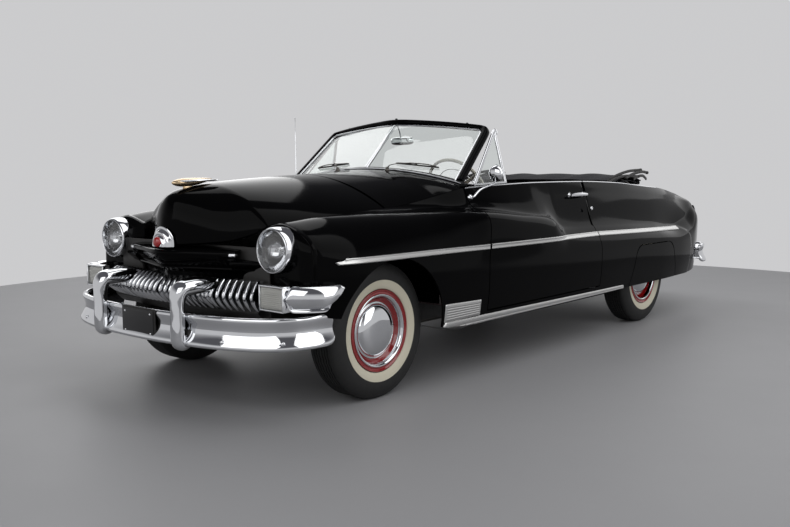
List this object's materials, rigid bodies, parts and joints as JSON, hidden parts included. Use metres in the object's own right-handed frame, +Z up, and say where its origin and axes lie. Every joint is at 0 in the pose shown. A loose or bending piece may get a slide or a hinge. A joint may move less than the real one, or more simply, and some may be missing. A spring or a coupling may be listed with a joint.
{
  "type": "two-door convertible car",
  "caption": "Low black open car of the early fifties with pontoon fenders, fluted chrome grille, split windshield and folded cloth top.",
  "frame": {"origin": "on the ground under the middle of the car's length and width", "axes": "+X to the car's left, +Y to its rear, +Z up"},
  "size_m": [1.9438, 5.2999, 1.513],
  "materials": {
    "body_paint": "gloss",
    "carpet": "matt",
    "chassis_black": "satin",
    "chrome": "polished",
    "engine_iron": "rough",
    "glass": "clear",
    "red_glass": "clear",
    "satin_trim": "satin",
    "seat_leather": "satin",
    "spring_steel": "dull",
    "top_cloth": "matt",
    "tyre": "matt",
    "wheel_red": "gloss",
    "wheel_rim_plastic": "gloss"
  },
  "bodies": {
    "body": {"antenna": "chrome", "chassis_frame": "chassis_black", "cowl": "body_paint", "dashboard": "body_paint", "engine_block": "engine_iron", "exhaust": "spring_steel", "fender_skirts": "body_paint", "floor_pan": "carpet", "folded_top": "top_cloth", "front_bumper": "chrome", "front_seat": "seat_leather", "front_suspension": "chassis_black", "fuel_tank": "chassis_black", "grille": "chrome", "grille_wings": "chrome", "headlight_bezels": "chrome", "headlight_lenses": "glass", "leaf_springs": "spring_steel", "left_front_fender": "body_paint", "left_rear_quarter": "body_paint", "nose_panel": "body_paint", "radiator": "chassis_black", "rear_axle": "chassis_black", "rear_bumper": "chrome", "rear_deck": "body_paint", "rear_seat": "seat_leather", "right_front_fender": "body_paint", "right_rear_quarter": "body_paint", "rocker_panels": "body_paint", "side_mouldings": "satin_trim", "steering_column": "body_paint", "taillights": "red_glass", "windshield_frame": "chrome", "windshield_glass": "glass", "wipers": "chrome"},
    "left_knuckle": {"left_knuckle": "chassis_black"},
    "right_knuckle": {"right_knuckle": "chassis_black"},
    "front_left_wheel": {"front_left_tyre": "tyre", "front_left_wheel": "wheel_red", "front_left_hubcap": "chrome"},
    "front_right_wheel": {"front_right_tyre": "tyre", "front_right_wheel": "wheel_red", "front_right_hubcap": "chrome"},
    "rear_left_wheel": {"rear_left_tyre": "tyre", "rear_left_wheel": "wheel_red", "rear_left_hubcap": "chrome"},
    "rear_right_wheel": {"rear_right_tyre": "tyre", "rear_right_wheel": "wheel_red", "rear_right_hubcap": "chrome"},
    "left_door": {"left_door": "body_paint", "left_door_trim": "chrome", "left_vent_glass": "glass", "side_mirror": "chrome"},
    "right_door": {"right_door": "body_paint", "right_door_trim": "chrome", "right_vent_glass": "glass"},
    "hood": {"hood": "body_paint", "hood_ornament": "chrome"},
    "trunk_lid": {"trunk_lid": "body_paint"},
    "steering_wheel": {"steering_wheel": "wheel_rim_plastic"}
  },
  "joints": [
    {"name": "front_left_steer", "type": "hinge", "parent": "body", "child": "left_knuckle", "pos_m": [0.655, -1.75, 0.35], "axis": [0, 0, 1], "range_deg": [-28, 28]},
    {"name": "front_right_steer", "type": "hinge", "parent": "body", "child": "right_knuckle", "pos_m": [-0.655, -1.75, 0.35], "axis": [0, 0, 1], "range_deg": [-28, 28]},
    {"name": "steering_wheel_turn", "type": "hinge", "parent": "body", "child": "steering_wheel", "pos_m": [0.36, -0.46, 1.035], "axis": [0, 0.866, 0.5], "range_deg": [-504, 504]},
    {"name": "left_door_hinge", "type": "hinge", "parent": "body", "child": "left_door", "pos_m": [0.942, -0.991, 0.7], "axis": [0, 0, -1], "range_deg": [0, 65]},
    {"name": "right_door_hinge", "type": "hinge", "parent": "body", "child": "right_door", "pos_m": [-0.942, -0.991, 0.7], "axis": [0, 0, 1], "range_deg": [0, 65]},
    {"name": "hood_hinge", "type": "hinge", "parent": "body", "child": "hood", "pos_m": [0, -1.485, 1.14], "axis": [-1, 0, 0], "range_deg": [0, 45]},
    {"name": "trunk_lid_hinge", "type": "hinge", "parent": "body", "child": "trunk_lid", "pos_m": [0, 1.697, 1.044], "axis": [1, 0, 0], "range_deg": [0, 60]},
    {"name": "front_left_spin", "type": "hinge", "parent": "left_knuckle", "child": "front_left_wheel", "pos_m": [0.743, -1.75, 0.35], "axis": [1, 0, 0], "continuous": true},
    {"name": "front_right_spin", "type": "hinge", "parent": "right_knuckle", "child": "front_right_wheel", "pos_m": [-0.743, -1.75, 0.35], "axis": [1, 0, 0], "continuous": true},
    {"name": "rear_left_spin", "type": "hinge", "parent": "body", "child": "rear_left_wheel", "pos_m": [0.762, 1.247, 0.35], "axis": [1, 0, 0], "continuous": true},
    {"name": "rear_right_spin", "type": "hinge", "parent": "body", "child": "rear_right_wheel", "pos_m": [-0.762, 1.247, 0.35], "axis": [1, 0, 0], "continuous": true}
  ],
  "couplings": [
    {"joint": "front_right_steer", "follows": "front_left_steer", "ratio": 1},
    {"joint": "steering_wheel_turn", "follows": "front_left_steer", "ratio": 18}
  ]
}
